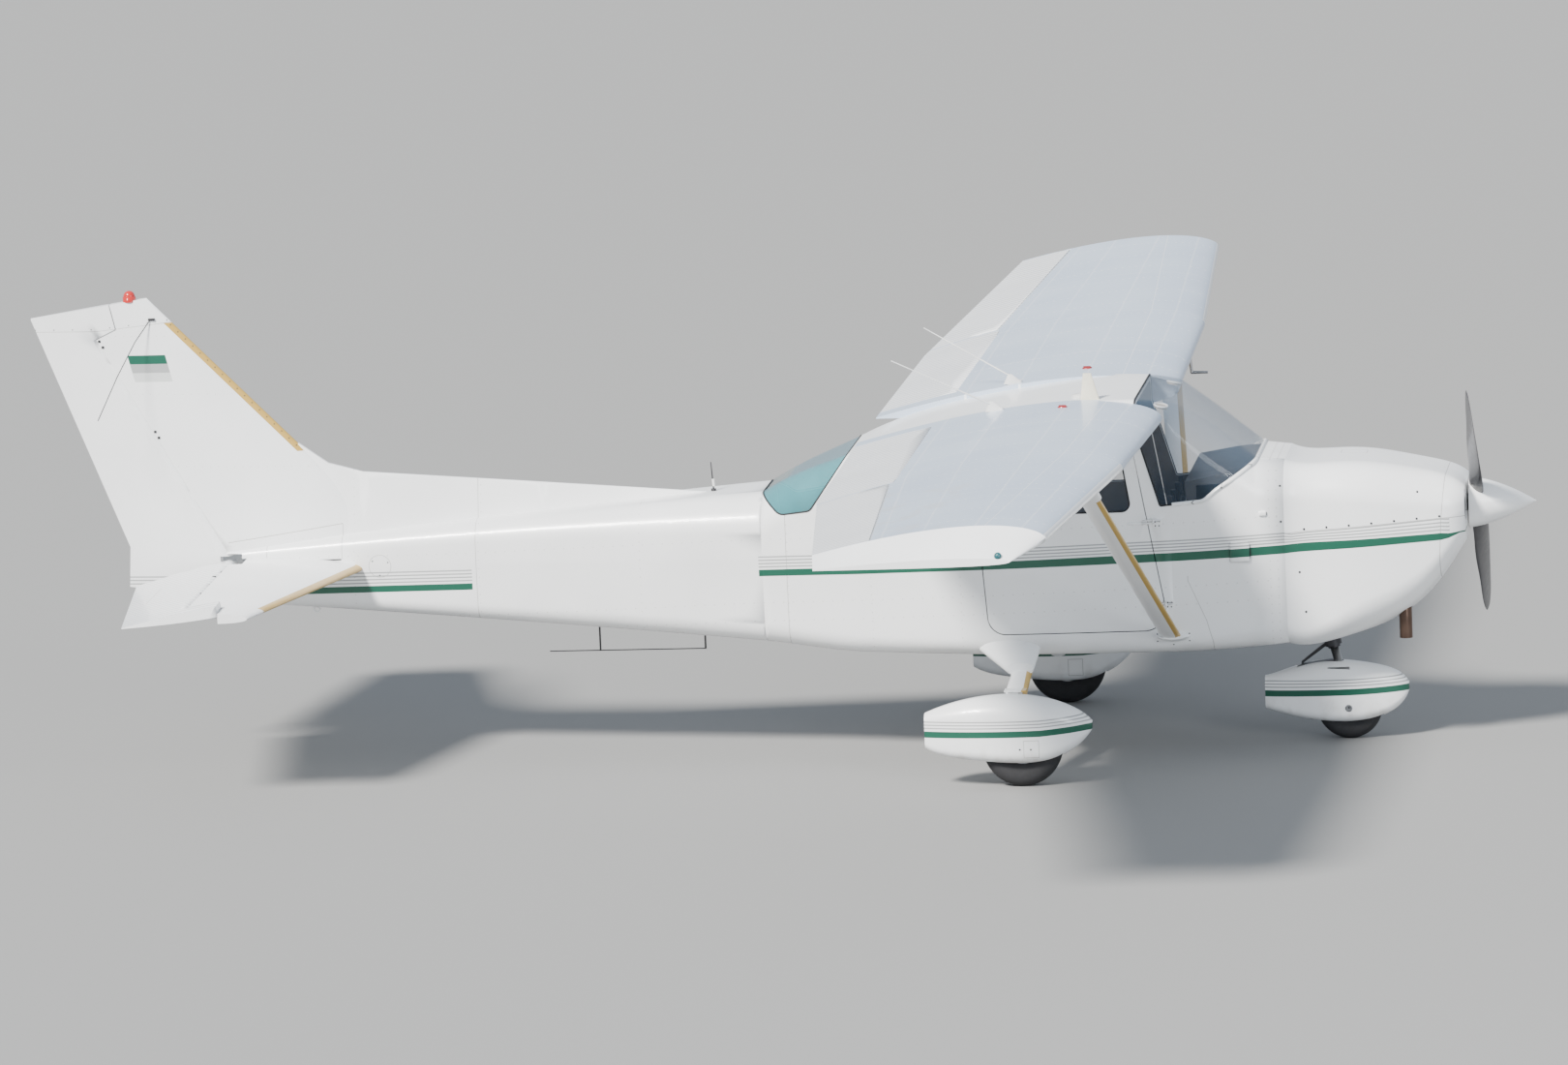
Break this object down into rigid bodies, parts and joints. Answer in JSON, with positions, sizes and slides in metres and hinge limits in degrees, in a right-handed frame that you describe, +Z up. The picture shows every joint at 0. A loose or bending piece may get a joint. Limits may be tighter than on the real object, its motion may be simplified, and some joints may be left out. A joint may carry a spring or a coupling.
{
  "type": "light aircraft",
  "caption": "High-wing light aircraft on faired tricycle gear: doors, wheels, steering, propeller and control surfaces move on their hinges.",
  "frame": {"origin": "on the ground, midway between the spinner's tip and the rudder's rear edge, in the plane of symmetry", "axes": "+X forward to the nose, +Y out along the left wing, +Z up from the ground"},
  "size_m": [8.212, 10.9798, 2.5999],
  "materials": {
    "white_skin": "gloss",
    "wing_skin": "gloss",
    "fairing": "gloss",
    "engine": "satin",
    "glass": "gloss",
    "tinted_glass": "gloss",
    "trim": "matte",
    "seat": "matte",
    "carpet": "matte",
    "steel": "satin",
    "gear_paint": "gloss",
    "tyre": "matte",
    "wheel": "satin",
    "blade": "satin",
    "exhaust": "satin",
    "lamp_lens": "gloss",
    "beacon": "gloss"
  },
  "bodies": {
    "airframe": {"nose_bowl": "white_skin", "upper_cowl": "white_skin", "lower_cowl": "white_skin", "engine_block": "engine", "cabin_shell": "white_skin", "side_windows": "glass", "cabin_floor": "carpet", "instrument_panel": "trim", "front_seats": "seat", "rear_seat": "seat", "seat_frames": "steel", "control_yokes": "trim", "tailcone": "white_skin", "dorsal_fin": "white_skin", "fin": "white_skin", "stabilizer": "white_skin", "nose_strut": "steel", "exhaust_pipe": "exhaust", "beacon": "beacon", "windscreen": "glass", "rear_window": "tinted_glass", "wings": "wing_skin", "wing_tips": "fairing", "wing_struts": "gear_paint", "gear_legs": "gear_paint", "main_pants": "fairing", "cuffs": "fairing", "tip_lamps": "lamp_lens", "antennas": "fairing", "pitot_tube": "steel"},
    "propeller": {"propeller": "blade", "spinner": "fairing"},
    "nose_gear": {"nose_fork": "gear_paint", "torque_links": "steel", "nose_pant": "fairing"},
    "nose_wheel": {"nose_tyre": "tyre", "nose_hub": "wheel"},
    "main_wheel_left": {"main_tyre_left": "tyre", "main_hub_left": "wheel"},
    "door_left": {"door_left": "white_skin", "door_glass_left": "glass"},
    "aileron_left": {"aileron_left": "wing_skin"},
    "flap_left": {"flap_left": "wing_skin"},
    "main_wheel_right": {"main_tyre_right": "tyre", "main_hub_right": "wheel"},
    "door_right": {"door_right": "white_skin", "door_glass_right": "glass"},
    "aileron_right": {"aileron_right": "wing_skin"},
    "flap_right": {"flap_right": "wing_skin"},
    "baggage_door": {"baggage_door": "white_skin"},
    "elevator": {"elevator": "white_skin"},
    "rudder": {"rudder": "white_skin"}
  },
  "joints": [
    {"name": "propeller_spin", "type": "hinge", "parent": "airframe", "child": "propeller", "pos_m": [3.745, 0, 1.281], "axis": [1, 0, 0], "continuous": true},
    {"name": "nose_steering", "type": "hinge", "parent": "airframe", "child": "nose_gear", "pos_m": [3.061, 0, 0.178], "axis": [-0.2278, 0, 0.9737], "range_deg": [-10, 10]},
    {"name": "nose_wheel_roll", "type": "hinge", "parent": "nose_gear", "child": "nose_wheel", "pos_m": [3.061, 0, 0.178], "axis": [0, 1, 0], "continuous": true},
    {"name": "main_wheel_left_roll", "type": "hinge", "parent": "airframe", "child": "main_wheel_left", "pos_m": [1.401, 1.255, 0.215], "axis": [0, 1, 0], "continuous": true},
    {"name": "main_wheel_right_roll", "type": "hinge", "parent": "airframe", "child": "main_wheel_right", "pos_m": [1.401, -1.255, 0.215], "axis": [0, 1, 0], "continuous": true},
    {"name": "door_right_hinge", "type": "hinge", "parent": "airframe", "child": "door_right", "pos_m": [2.125, -0.534, 0.841], "axis": [-0.1065, -0.0435, 0.9934], "range_deg": [0, 50]},
    {"name": "door_left_hinge", "type": "hinge", "parent": "airframe", "child": "door_left", "pos_m": [2.125, 0.534, 0.841], "axis": [0.1065, -0.0435, -0.9934], "range_deg": [0, 50]},
    {"name": "baggage_door_hinge", "type": "hinge", "parent": "airframe", "child": "baggage_door", "pos_m": [0.788, 0.502, 0.9], "axis": [0, -0.0499, -0.9988], "range_deg": [0, 100]},
    {"name": "aileron_left_hinge", "type": "hinge", "parent": "airframe", "child": "aileron_left", "pos_m": [0.91204, 2.765, 1.82815], "axis": [0.0729, 0.9961, 0.0499], "range_deg": [-15, 20]},
    {"name": "aileron_right_hinge", "type": "hinge", "parent": "airframe", "child": "aileron_right", "pos_m": [1.09657, -5.285, 1.95429], "axis": [-0.0729, 0.9961, -0.0499], "range_deg": [-20, 20]},
    {"name": "flap_left_hinge", "type": "hinge", "parent": "airframe", "child": "flap_left", "pos_m": [1.01781, 0.625, 1.71803], "axis": [-0.009, -0.9998, -0.0195], "range_deg": [0, 40]},
    {"name": "flap_right_hinge", "type": "hinge", "parent": "airframe", "child": "flap_right", "pos_m": [1.03672, -2.735, 1.7591], "axis": [0.009, -0.9998, 0.0195], "range_deg": [0, 40]},
    {"name": "elevator_hinge", "type": "hinge", "parent": "airframe", "child": "elevator", "pos_m": [-3.053, 0, 1.07], "axis": [0, 1, 0], "range_deg": [-13, 38]},
    {"name": "rudder_hinge", "type": "hinge", "parent": "airframe", "child": "rudder", "pos_m": [-2.972, 0, 0.905], "axis": [-0.4839, 0, 0.8751], "range_deg": [-17, 17]}
  ],
  "couplings": [
    {"joint": "aileron_right_hinge", "follows": "aileron_left_hinge", "ratio": -1},
    {"joint": "flap_right_hinge", "follows": "flap_left_hinge", "ratio": 1}
  ]
}
